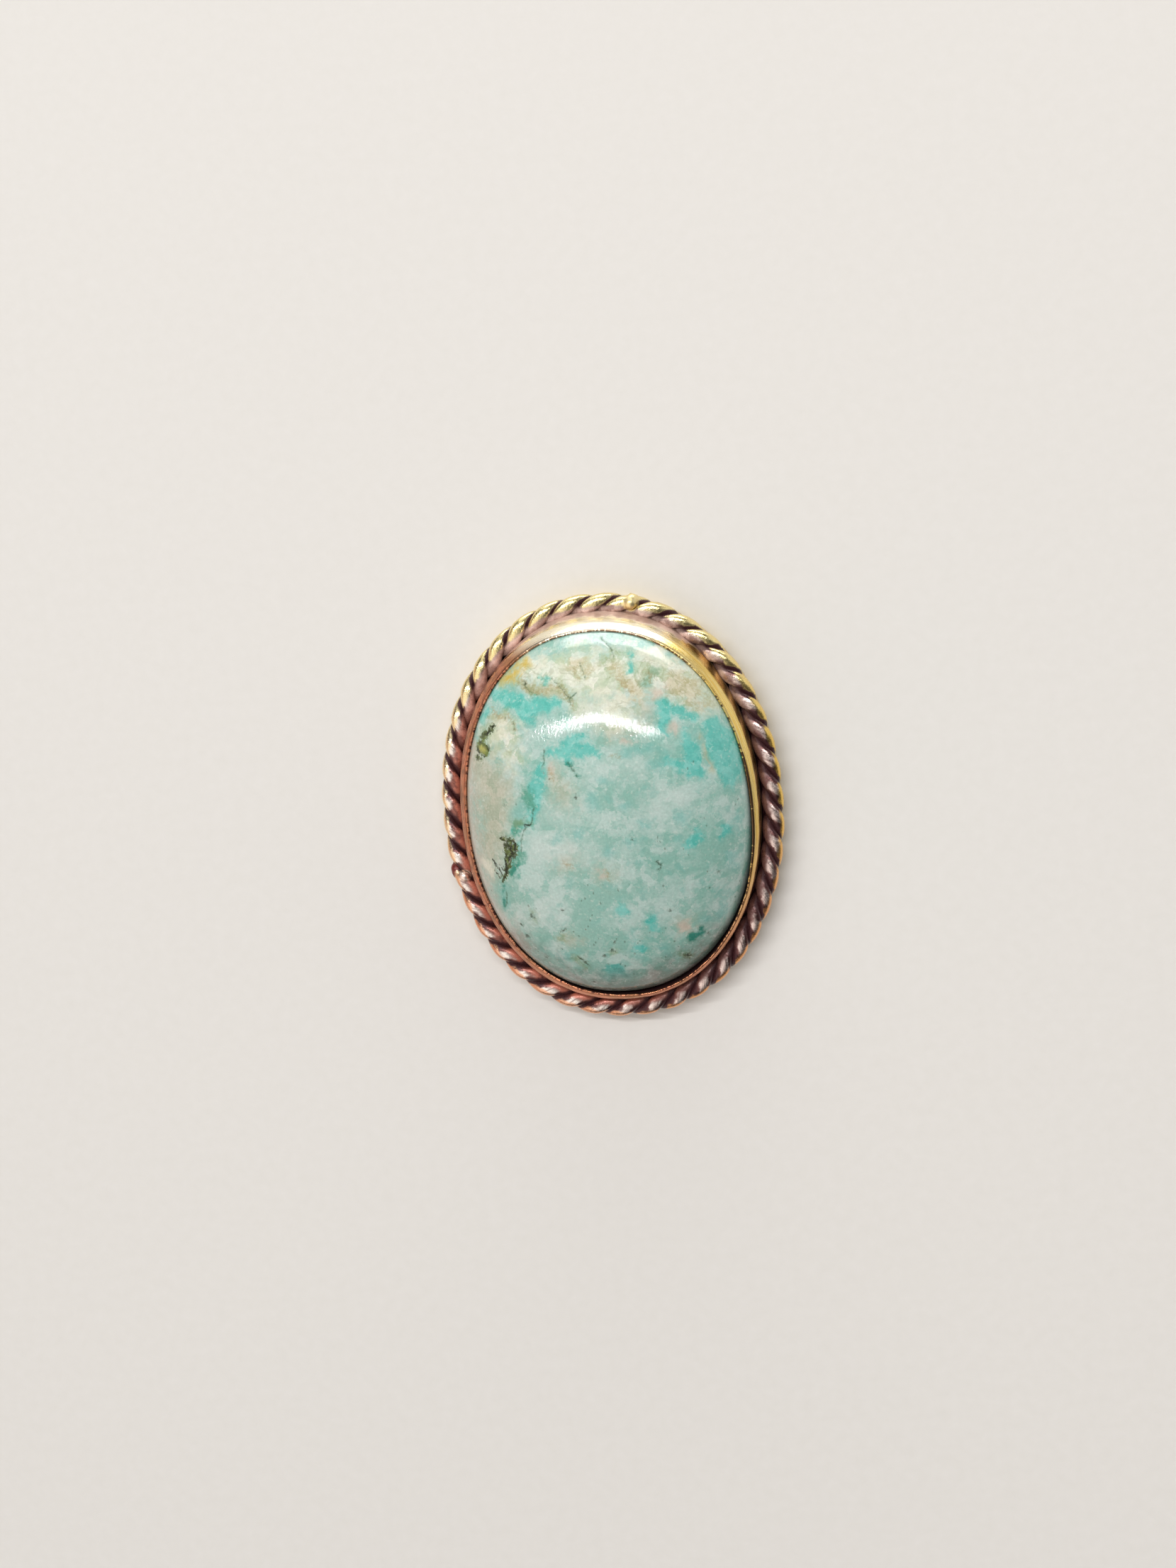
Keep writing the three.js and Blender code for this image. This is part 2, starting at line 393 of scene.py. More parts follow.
BLACK = [
    [(-5.3, -0.62, 0.04), (-5.12, -0.8, 0.05)],
    [(-4.66, -0.75, 0.06), (-4.45, -1.0, 0.08), (-4.5, -1.32, 0.07)],
    [(-4.82, -1.1, 0.05), (-4.7, -1.45, 0.07)],
    [(-5.2, -1.35, 0.03), (-5.02, -1.6, 0.04)],
    [(-4.82, -1.65, 0.04), (-4.98, -1.88, 0.03)],
    [(-5.15, -1.9, 0.05), (-5.14, -2.3, 0.08), (-5.3, -2.7, 0.08), (-5.48, -2.98, 0.03)],
    [(-5.95, -1.85, 0.02), (-5.55, -2.3, 0.02)],
    [(-5.85, -2.05, 0.02), (-5.45, -2.6, 0.025)],
    [(-5.9, -2.4, 0.02), (-5.6, -2.85, 0.025)],
    [(-5.55, -2.1, 0.02), (-5.35, -2.4, 0.02)],
    [(-6.3, 3.9, 0.03), (-6.2, 3.65, 0.03), (-5.9, 3.55, 0.03)],
    [(-5.6, 4.1, 0.04), (-5.6, 3.8, 0.03)],
    [(-5.85, 4.6, 0.04), (-5.55, 4.8, 0.05)],
    [(-5.4, 5.0, 0.05), (-5.2, 5.2, 0.03)],
    [(-3.85, 0.0, 0.06), (-3.55, 0.05, 0.04)],
]
SPECKS = [
    [(-0.9, 1.35, 0.05)],
    [(-4.8, 1.1, 0.05)],
    [(1.75, -0.95, 0.05)],
    [(-4.1, -4.8, 0.06), (-3.95, -4.95, 0.05)],
    [(-4.8, -5.4, 0.06)],
    [(-2.55, -5.75, 0.04), (-2.35, -5.65, 0.05)],
    [(-4.55, -6.05, 0.05), (-4.4, -6.2, 0.04)],
    [(-3.65, -7.3, 0.06)],
    [(-1.9, -7.2, 0.03), (-1.4, -7.7, 0.05)],
    [(-1.35, -8.8, 0.06)],
    [(0.2, -6.4, 0.05)],
    [(0.0, -6.9, 0.06)],
    [(-0.45, -7.2, 0.05)],
    [(3.3, -4.9, 0.04)],
    [(4.9, -6.5, 0.04)],
    [(-2.3, -4.5, 0.06)],
    [(5.8, -3.2, 0.05)],
    [(2.85, -2.2, 0.02), (3.05, -2.4, 0.03), (2.95, -2.7, 0.03)],
    [(-3.4, 7.25, 0.05), (-3.3, 7.05, 0.03)],
]
CRACKS = [
    [(-3.2, 0.95, 0.02), (-3.3, 0.6, 0.025), (-3.4, 0.3, 0.02), (-3.45, 0.1, 0.03), (-3.65, 0.0, 0.03)],
    [(-3.65, 0.0, 0.03), (-3.9, -0.25, 0.02), (-4.0, -0.45, 0.02), (-4.1, -0.9, 0.015), (-4.2, -1.4, 0.02)],
    [(-2.42, 3.9, 0.015), (-2.5, 3.5, 0.025), (-2.45, 3.2, 0.02), (-2.6, 3.05, 0.015)],
    [(0.65, 9.1, 0.01), (0.95, 8.85, 0.015), (1.2, 8.55, 0.015), (1.38, 8.2, 0.02)],
    [(-1.75, 7.2, 0.012), (-1.35, 6.85, 0.015), (-1.0, 6.4, 0.02), (-0.9, 6.05, 0.012)],
    [(-0.9, 6.35, 0.012), (-0.6, 6.6, 0.015)],
    [(-3.5, 7.2, 0.015), (-3.1, 6.8, 0.015), (-2.7, 6.6, 0.012)],
    [(-4.1, 5.3, 0.015), (-4.0, 4.95, 0.012)],
    [(-5.6, -4.4, 0.02), (-5.4, -4.1, 0.025), (-5.35, -3.6, 0.015)],
    [(-0.4, 8.0, 0.01), (-0.1, 7.3, 0.015)],
    [(-1.2, 3.2, 0.015), (-0.9, 2.7, 0.015), (-0.75, 2.45, 0.01)],
]
MARKINGS = {
    "turquoise": TURQUOISE,
    "faint_turquoise": FAINT_TURQUOISE,
    "teal": TEAL,
    "green": GREEN,
    "warm": WARM,
    "rosy": ROSY_REFLECTION,
    "dim": RIM_SHADE,
    "pale": PALE,
    "milky": MILKY,
    "beige": BEIGE,
    "pink": PINK,
    "yellow": YELLOW,
    "cream": CREAM,
    "moss": MOSS,
    "brown": BROWN,
    "olive": OLIVE,
    "lime": LIME,
    "black": BLACK,
    "specks": SPECKS,
    "cracks": CRACKS,
}
FINE_MARKINGS = ("brown", "olive", "lime", "black", "specks", "cracks")


def stroke_distance(places, stroke):
    """Distance in millimetres from each place to a stroke of tapering spots, below zero inside it."""
    nearest = np.full(len(places), np.inf)
    for (x, y, radius), (next_x, next_y, next_radius) in zip(stroke, stroke[1:] or stroke):
        run = np.array([next_x - x, next_y - y])
        reach = places - (x, y)
        share = np.clip(reach @ run / max(run @ run, 1e-9), 0, 1)
        away = np.linalg.norm(reach - share[:, None] * run, axis=1)
        nearest = np.minimum(nearest, away - radius - share * (next_radius - radius))
    return nearest


def wander(places, pitch, reach):
    """Moves each place by smooth noise, so that round strokes get ragged edges."""
    x, y = (places / pitch).T
    moved = [[noise.noise((a, b, pitch + layer)) for a, b in zip(x, y)] for layer in (0.5, 9.5)]
    return places + reach * np.array(moved).T


def marking_fields(places):
    """For each kind of marking, every place's distance to the nearest stroke of that kind."""
    coarse = wander(wander(places, 1.1, 0.18), 0.35, 0.12)
    fine = wander(places, 0.3, 0.05)
    fields = {}
    for kind, strokes in MARKINGS.items():
        at = fine if kind in FINE_MARKINGS else coarse
        fields[kind] = np.min([stroke_distance(at, stroke) for stroke in strokes], axis=0)
    return fields


# The stone

STONE_GRID = 300
SWELL = 0.012  # how far the polished dome wanders from its true curve
DENT = 0.015  # how deep cracks and dark inclusions lie under the polish
FULL_RIM = 0.17  # how much fuller than its true curve the dome is by the bezel at the +Y end


def stone_material():
    stone = Surface("polished_turquoise", IOR=1.61, Specular_IOR_Level=0.3)
    cloud = stone.noise(stone.mm, 0.45, 4.0, 0.55, 0.6)
    mottle = stone.noise(stone.mm, 1.7, 5.0, 0.62, 0.4)
    grain = stone.noise(stone.mm, 7.0, 4.0, 0.65)
    fine_ragged = stone.remap(grain, 0.3, 0.7, -0.09, 0.09)
    ragged = stone.math("ADD", stone.remap(mottle, 0.25, 0.75, -0.22, 0.22), stone.remap(grain, 0.25, 0.75, -0.03, 0.03))

    def crumbs(scale, stray):
        """A random number for each crumb of stone, the crumbs having ragged angular outlines."""
        shift = stone.node("TexNoise", {"Vector": stone.mm, "Scale": 2 * scale, "Detail": 3.0}).outputs["Color"]
        place = stone.vector("ADD", stone.mm, stone.vector("MULTIPLY", shift, (stray, stray, stray)))
        cell = stone.node("TexVoronoi", {"Vector": place, "Scale": scale}).outputs["Color"]
        return stone.axis(cell, 0)

    def mask(kind, soft, strength, ragged_share):
        """How far a marking covers the surface: strength well inside it, easing to nothing outside."""
        rough = fine_ragged if kind in FINE_MARKINGS else ragged
        edge = stone.math("ADD", stone.field(kind), stone.math("MULTIPLY", rough, ragged_share))
        return stone.remap(edge, soft, -soft, 0.0, strength)

    large_crumb = crumbs(0.9, 1.0)
    small_crumb = crumbs(2.2, 0.5)
    tint = stone.math("ADD", cloud, stone.remap(small_crumb, 0.0, 1.0, -0.08, 0.08))
    tint = stone.math("ADD", tint, stone.remap(large_crumb, 0.0, 1.0, -0.06, 0.06))
    colour = stone.blend(stone.remap(tint, 0.34, 0.66), rgb(0.24, 0.44, 0.37), rgb(0.43, 0.56, 0.51))
    dapple = stone.remap(stone.noise(stone.mm, 1.25, 2.0, 0.5, 0.3), 0.57, 0.7, 0.0, 0.5)
    colour = stone.blend(dapple, colour, rgb(0.18, 0.42, 0.36))
    crumbly = stone.math("ADD", stone.math("MULTIPLY", small_crumb, 0.35), stone.math("MULTIPLY", mottle, 0.75))
    warm_stone = stone.blend(stone.remap(crumbly, 0.3, 0.8), rgb(0.36, 0.385, 0.28), rgb(0.50, 0.47, 0.36))
    pale_stone = stone.blend(stone.remap(crumbly, 0.3, 0.75), rgb(0.46, 0.52, 0.35), rgb(0.72, 0.71, 0.60))
    beige_stone = stone.blend(stone.remap(crumbly, 0.3, 0.75), rgb(0.44, 0.36, 0.20), rgb(0.56, 0.50, 0.34))
    blue_stone = stone.blend(stone.remap(crumbly, 0.3, 0.8), rgb(0.08, 0.43, 0.37), rgb(0.18, 0.53, 0.47))
    olive_stone = stone.blend(stone.remap(mottle, 0.42, 0.62), rgb(0.02, 0.035, 0.004), rgb(0.13, 0.18, 0.03))
    # each layer: the marking, the softness of its edge in millimetres, strength, raggedness and colour
    layers = [
        ("warm", 0.9, 0.8, 2.0, warm_stone),
        # painted pink reflection along the left edge
        ("rosy", 0.8, 0.7, 1.5, rgb(0.48, 0.40, 0.33)),
        ("pale", 0.7, 0.85, 2.0, pale_stone),
        ("milky", 0.9, 0.45, 1.5, rgb(0.58, 0.64, 0.60)),
        ("beige", 0.3, 0.7, 1.5, beige_stone),
        ("cream", 0.3, 0.7, 1.5, rgb(0.68, 0.67, 0.55)),
        ("yellow", 0.4, 0.95, 1.2, rgb(0.52, 0.37, 0.04)),
        ("turquoise", 0.6, 0.4, 1.5, blue_stone),
        ("turquoise", 0.16, 0.85, 0.9, blue_stone),
        ("pink", 0.25, 0.7, 1.0, rgb(0.60, 0.48, 0.40)),
        ("faint_turquoise", 0.28, 0.6, 1.0, rgb(0.17, 0.44, 0.39)),
        ("green", 0.2, 0.85, 1.0, rgb(0.07, 0.29, 0.20)),
        ("teal", 0.12, 0.9, 0.6, rgb(0.012, 0.22, 0.16)),
        ("moss", 0.25, 0.5, 1.2, rgb(0.22, 0.28, 0.12)),
        ("brown", 0.16, 0.6, 1.2, rgb(0.36, 0.28, 0.13)),
        ("olive", 0.35, 0.4, 1.0, rgb(0.14, 0.26, 0.13)),
        ("olive", 0.06, 0.95, 1.0, olive_stone),
        ("lime", 0.12, 0.9, 0.8, rgb(0.42, 0.42, 0.11)),
        ("cracks", 0.12, 0.45, 0.6, rgb(0.10, 0.24, 0.14)),
        ("cracks", 0.05, 0.95, 0.15, rgb(0.02, 0.07, 0.035)),
        ("specks", 0.16, 0.4, 1.0, rgb(0.12, 0.18, 0.12)),
        ("specks", 0.06, 0.75, 0.6, rgb(0.03, 0.05, 0.025)),
        ("black", 0.05, 0.9, 0.7, rgb(0.006, 0.012, 0.002)),
    ]
    for kind, soft, strength, ragged_share, paint in layers:
        colour = stone.blend(mask(kind, soft, strength, ragged_share), colour, paint)
    # painted shade along the lower rim, multiplied in with a pinkish tint
    colour = stone.blend(mask("dim", 1.3, 1.0, 1.5), colour, rgb(0.50, 0.32, 0.30), "MULTIPLY")

    # faint flecks everywhere, a few olive hair lines in the pale stone and dark specks in places
    fleck = stone.remap(stone.noise(stone.mm, 4.5, 3.0, 0.6), 0.56, 0.72, 0.0, 0.28)
    colour = stone.blend(fleck, colour, rgb(0.70, 0.72, 0.66))
    ridge = stone.math("ABSOLUTE", stone.math("SUBTRACT", stone.noise(stone.mm, 0.7, 3.0, 0.55, 1.0), 0.5))
    hair = stone.math("MULTIPLY", stone.remap(ridge, 0.03, 0.008), mask("pale", 0.5, 0.28, 1.0))
    hair = stone.math("MULTIPLY", hair, stone.remap(cloud, 0.4, 0.6))
    colour = stone.blend(hair, colour, rgb(0.20, 0.22, 0.08))
    speck = stone.node("TexVoronoi", {"Vector": stone.stretch(stone.mm, (3.2, 2.0, 2.4)), "Scale": 1.0}).outputs["Distance"]
    dot = stone.remap(stone.math("ADD", speck, stone.math("MULTIPLY", grain, 0.5)), 0.42, 0.34)
    lower = stone.remap(stone.axis(stone.mm, 1), -1.0, -6.0, 0.0, 0.1)
    sparse = stone.remap(stone.math("ADD", stone.noise(stone.mm, 0.7, 2.0), lower), 0.57, 0.65, 0.0, 0.5)
    colour = stone.blend(stone.math("MULTIPLY", dot, sparse), colour, rgb(0.07, 0.11, 0.07))
    tone = stone.remap(grain, 0.25, 0.75, 0.9, 1.08)
    colour = stone.blend(1.0, colour, stone.node("CombineColor", {0: tone, 1: tone, 2: tone}).outputs[0], "MULTIPLY")

    scratch = stone.noise(stone.stretch(stone.mm, (9.0, 2.4, 2.4)), 1.0, 2.0)
    scratch = stone.math("MULTIPLY", scratch, stone.remap(stone.axis(stone.mm, 0), 2.0, -3.0, 0.85, 1.4))
    worn = stone.math("MAXIMUM", mask("cracks", 0.06, 0.3, 0.3), mask("olive", 0.1, 0.3, 0.5))
    stone.set(
        Base_Color=colour,
        Roughness=stone.math("ADD", stone.remap(mottle, 0.3, 0.7, 0.05, 0.1), worn),
    )
    stone.bump(stone.math("ADD", scratch, stone.math("MULTIPLY", grain, 0.25)), 0.016, 0.6)
    return stone.material


def stone_border(side):
    """Indices of a square grid's border points, in order round it."""
    last = side - 1
    run = np.arange(last)
    return np.concatenate([run * side, last * side + run, (last - run) * side + last, last - run])


def add_stone():
    """A dome on a square grid drawn out to the oval, over an upright side and a flat base."""
    line = np.linspace(-1, 1, STONE_GRID)
    u, v = (axis.ravel() for axis in np.meshgrid(line, line, indexing="ij"))
    disc_x, disc_y = u * np.sqrt(1 - v**2 / 2), v * np.sqrt(1 - u**2 / 2)
    tip = np.minimum(np.hypot(disc_x, disc_y), 1) * math.pi / 2
    outline = oval(np.arctan2(disc_y, disc_x))[0]
    places = outline * np.sin(tip)[:, None]
    dome = np.column_stack([places, girdle_top + dome_height * np.cos(tip)])

    fields = marking_fields(places)
    share = np.sin(tip)
    fuller = np.clip((share - 0.925) / 0.05, 0, 1) ** 2 * np.clip((1 - share) / 0.025, 0, 1)
    dome[:, 2] += FULL_RIM * fuller * bump_at(np.arctan2(disc_y, disc_x), 88, 40)
    outward = dome - (0, 0, girdle_top)
    outward /= np.array([HALF_WIDTH, HALF_LENGTH, dome_height]) ** 2
    outward /= np.linalg.norm(outward, axis=1, keepdims=True)
    swell = np.array([noise.noise((x / 2.6, y / 2.6, 4.0)) for x, y in places])
    cut = np.clip(1 - np.minimum(fields["cracks"], fields["black"]) / 0.06, 0, 1)
    dome += outward * (SWELL * swell - DENT * cut)[:, None] * np.cos(tip)[:, None] ** 0.25

    border = stone_border(STONE_GRID)
    base = dome[border]
    base[:, 2] = stone_low[2]
    points = np.vstack([dome, base])
    i, j = np.meshgrid(np.arange(STONE_GRID - 1), np.arange(STONE_GRID - 1), indexing="ij")
    corner = (i * STONE_GRID + j).ravel()
    faces = np.stack([corner, corner + STONE_GRID, corner + STONE_GRID + 1, corner + 1], -1).tolist()
    foot = len(dome) + np.arange(len(border))
    faces += np.stack([border, foot, np.roll(foot, -1), np.roll(border, -1)], -1).tolist()
    faces.append(foot[::-1].tolist())
    fields = {kind: np.concatenate([distance, distance[border]]) for kind, distance in fields.items()}
    return add_piece("cabochon", points, faces, stone_material(), "turquoise_stone", fields)


# The brass

GOLD = rgb(0.82, 0.55, 0.13)
PALE_GOLD = rgb(0.92, 0.73, 0.32)
# a copper tint used as a painted warm reflection
REFLECTED_COPPER = rgb(0.76, 0.28, 0.17)
MAUVE = rgb(0.22, 0.11, 0.10)
# dark tarnish, also used as painted shade inside the bezel by the stone
DARK_TARNISH_AND_SHADE = rgb(0.06, 0.02, 0.022)


def left_and_low(brass):
    """How far a point lies towards the left and the lower end of the oval, where the brass is painted redder as a warm
    reflection.
    """
    left = brass.math("MULTIPLY", brass.axis(brass.mm, 0), -1.3 / HALF_WIDTH)
    low = brass.math("MULTIPLY", brass.axis(brass.mm, 1), -0.9 / HALF_LENGTH)
    return brass.remap(brass.math("MAXIMUM", left, low), 0.0, 0.9, 0.0, 0.95)


# The bezel

BEZEL_COLUMNS = 2200
SEAM_ANGLE = 206.5  # where the strip's two ends were soldered, in degrees from +X towards +Y
LOOSE_ANGLE = 307  # the middle of the stretch where the lip stands off the stone
LOOSE_REACH = 0.22
# where the lip is pressed further in over the stone: (angle, spread in degrees, reach)
PRESSED = [(88, 38, 0.19), (172, 40, 0.07)]
PRESSED_RISE = 1.9  # how much the lip rises along the dome for its reach inwards
FILLET = 0.33  # how far solder fills the corner between the strip and the border at the +Y end


def bezel_section():
    """The strip's section as (offset, height, lip, foot), from the inner foot over the lip to the outer foot.
    lip is how much of the lip's own unevenness a point takes, and foot how much of the solder's spread."""
    inside = SOLDER_GAP
    edge = SOLDER_GAP - LIP_REACH
    top = bezel_high[2]
    turn = girdle_top + 0.2
    return [
        (inside, bezel_low[2], 0.0, 0.0),
        (inside, girdle_top - 0.4, 0.0, 0.0),
        (inside, turn, 0.1, 0.0),
        (inside - 0.03, turn + 0.25, 0.4, 0.0),
        (edge + 0.05, top - 0.2, 0.8, 0.0),
        (edge + 0.01, top - 0.11, 0.95, 0.0),
        (edge, top - 0.06, 1.0, 0.0),
        (edge + 0.015, top - 0.025, 1.0, 0.0),
        (edge + 0.05, top - 0.005, 0.97, 0.0),
        (edge + 0.1, top, 0.94, 0.0),
        (edge + 0.15, top - 0.025, 0.9, 0.0),
        (edge + 0.21, top - 0.085, 0.8, 0.0),
        (edge + 0.28, top - 0.16, 0.68, 0.0),
        (edge + 0.35, top - 0.24, 0.54, 0.0),
        (edge + 0.41, top - 0.32, 0.4, 0.0),
        (edge + 0.45, top - 0.45, 0.26, 0.0),
        (bezel_outside - 0.004, top - 0.65, 0.12, 0.2),
        (bezel_outside, turn - 0.25, 0.0, 0.75),
        (bezel_outside, girdle_top - 0.5, 0.0, 1.0),
        (bezel_outside, bezel_low[2], 0.0, 0.0),
    ]


def bezel_material():
    """Polished and scratched along its length on the lip and the upper wall, tarnished at the foot and inside, the
    dark inside also painted shade by the stone. Redder towards the left and the lower end as a painted warm
    reflection, and nearly white near the +Y end as a painted highlight.
    """
    brass = Surface("burnished_brass")
    cloud = brass.noise(brass.mm, 1.2, 4.0)
    grain = brass.noise(brass.mm, 9.0, 4.0, 0.65)
    scratch = brass.noise(brass.stretch(brass.field("strip", "Vector"), (4.0, 4.0, 16.0)), 1.0, 4.0, 0.6)
    ragged = brass.math("ADD", brass.axis(brass.mm, 2), brass.remap(cloud, 0.3, 0.7, -0.15, 0.15))
    end = brass.remap(brass.axis(brass.mm, 1), 0.7 * HALF_LENGTH, 0.95 * HALF_LENGTH)
    clean = brass.remap(brass.math("SUBTRACT", ragged, brass.math("MULTIPLY", end, 0.75)), 1.5, 1.8)
    clean = brass.math("MULTIPLY", clean, brass.field("outer_side"))
    bright = brass.blend(brass.remap(scratch, 0.35, 0.65), GOLD, PALE_GOLD)
    # painted warm reflection: the polished brass turns copper towards the left and the lower end
    red = left_and_low(brass)
    bright = brass.blend(red, bright, REFLECTED_COPPER)
    wall = brass.math("MULTIPLY", brass.field("outer_side"), brass.remap(ragged, 1.0, 1.6))
    solder = brass.blend(brass.remap(cloud, 0.25, 0.75), rgb(0.40, 0.26, 0.20), rgb(0.70, 0.50, 0.41))
    # dark tarnish at the foot and inside the strip; inside, by the stone, it is also painted shade in the gap
    dull = brass.blend(wall, DARK_TARNISH_AND_SHADE, brass.blend(end, rgb(0.42, 0.24, 0.18), solder))
    stain_and_reflection = brass.remap(brass.math("ADD", scratch, brass.math("MULTIPLY", cloud, 0.5)), 0.6, 0.45, 0.0, 0.6)
    # real stains, made browner towards the left and the lower end as part of the painted warm reflection
    stain_and_reflection = brass.math("MAXIMUM", stain_and_reflection, brass.math("MULTIPLY", red, brass.remap(cloud, 0.35, 0.65, 0.1, 0.65)))
    bright = brass.blend(stain_and_reflection, bright, rgb(0.42, 0.22, 0.10))
    streak = brass.noise(brass.stretch(brass.field("strip", "Vector"), (22.0, 22.0, 9.0)), 1.0, 4.0, 0.65)
    left = brass.remap(brass.axis(brass.mm, 0), -0.35 * HALF_WIDTH, -0.8 * HALF_WIDTH)
    bright = brass.blend(brass.math("MULTIPLY", left, brass.remap(streak, 0.42, 0.6, 0.05, 0.65)), bright, rgb(0.20, 0.10, 0.07))
    # painted highlight: the strip is painted nearly white near the +Y end
    bright = brass.blend(brass.remap(brass.axis(brass.mm, 1), 0.84 * HALF_LENGTH, 0.96 * HALF_LENGTH), bright, rgb(0.97, 0.89, 0.70))
    nick = brass.noise(brass.stretch(brass.field("strip", "Vector"), (60.0, 60.0, 3.0)), 1.0, 2.0)
    nick = brass.math("ADD", nick, brass.math("MULTIPLY", end, 0.12))
    right = brass.remap(brass.axis(brass.mm, 0), 0.95 * HALF_WIDTH, HALF_WIDTH, 0.0, 0.2)
    nick = brass.math("ADD", nick, right)
    lip = brass.math("ADD", brass.field("lip"), brass.math("MULTIPLY", right, 0.5))
    nicked = brass.math("MULTIPLY", brass.remap(nick, 0.48, 0.6, 0.0, 0.9), brass.remap(lip, 0.9, 0.96))
    bright = brass.blend(nicked, bright, brass.blend(end, DARK_TARNISH_AND_SHADE, rgb(0.20, 0.10, 0.05)))
    brass.set(
        Base_Color=brass.blend(clean, dull, bright),
        Metallic=brass.remap(clean, 0.0, 1.0, 0.45, 1.0),
        Roughness=brass.math(
            "ADD", brass.remap(clean, 0.0, 1.0, 0.5, 0.24), brass.remap(scratch, 0.3, 0.7, -0.05, 0.1)
        ),
    )
    brass.bump(brass.math("ADD", scratch, brass.math("MULTIPLY", grain, 0.3)), 0.015, 0.7)
    return brass.material


def add_bezel():
    angle = even_angles(BEZEL_COLUMNS, bezel_outside)
    section = np.array(bezel_section())
    loose = LOOSE_REACH * np.clip(1.6 * bump_at(angle, LOOSE_ANGLE, 38), 0, 1)
    teeth = 0.012 * ring_noise(angle, 0.1) + 0.02 * ring_noise(angle, 1.1, 3.0)
    dip = 0.02 * ring_noise(angle, 1.6, 7.0) - 0.03
    seam = 0.05 * bump_at(angle, SEAM_ANGLE, 0.25)
    pressed = sum(reach * bump_at(angle, middle, spread) for middle, spread, reach in PRESSED)
    fillet = FILLET * np.clip(1.3 * bump_at(angle, 80, 36), 0, 1)
    offset, height, lip, foot = section.T[:, None, :]
    offset = offset + lip * (loose - pressed)[:, None] + np.clip(4 * lip - 3, 0, 1) * teeth[:, None]
    offset = offset - (offset > 0.1) * seam[:, None] + foot * fillet[:, None]
    height = height + lip * (dip - seam + PRESSED_RISE * pressed)[:, None]
    flat, _ = oval(np.broadcast_to(angle[:, None], offset.shape), offset)
    points = np.concatenate([flat, height[..., None]], -1).reshape(-1, 3)

    rows = len(section)
    around = np.repeat(angle, rows)
    run = np.linalg.norm(np.diff(section[:, :2], axis=0), axis=1)
    across = np.tile(np.concatenate([[0], np.cumsum(run)]), BEZEL_COLUMNS)
    outer = np.tile(np.clip((np.arange(rows) - 4) / 2, 0, 1), BEZEL_COLUMNS)
    fields = {
        "strip": np.column_stack([np.cos(around), np.sin(around), across]),
        "outer_side": outer,
        "lip": np.tile(section[:, 2], BEZEL_COLUMNS),
    }
    faces = wrapped_faces(BEZEL_COLUMNS, rows)
    return add_piece("bezel_strip", points, faces, bezel_material(), "bezel", fields)


# The twisted border

STRAND_STEPS = 60 * ROPE_TURNS
STRAND_SIDES = 28
STRAND_REACH = 0.34  # half a strand's thickness, outwards from the rope's middle
STRAND_SPREAD = 0.38  # half its width, where it is pressed against the other strand
FLAT_FROM = 0.8  # the share of the rope's radius beyond which its top and outer edge are worn flatter
FLAT_KEEP = 0.6
# drops of solder: (angle in degrees, offset and height from the rope's middle, radius, 1 if pale or -1 if dark red)
DROPS = [
    (79.7, 0.6, 0.24, 0.18, 1.0),
    (77.4, 0.48, 0.3, 0.26, 1.0),
    (77.7, 0.14, 0.38, 0.3, 1.0),
    (69.4, 0.58, 0.2, 0.1, 1.0),
    (196.2, -0.06, 0.36, 0.23, 1.0),
    (193.6, 0.4, 0.1, 0.23, -1.0),
    (195.0, 0.4, 0.1, 0.23, -1.0),
]
DROP_BLEND = 0.09


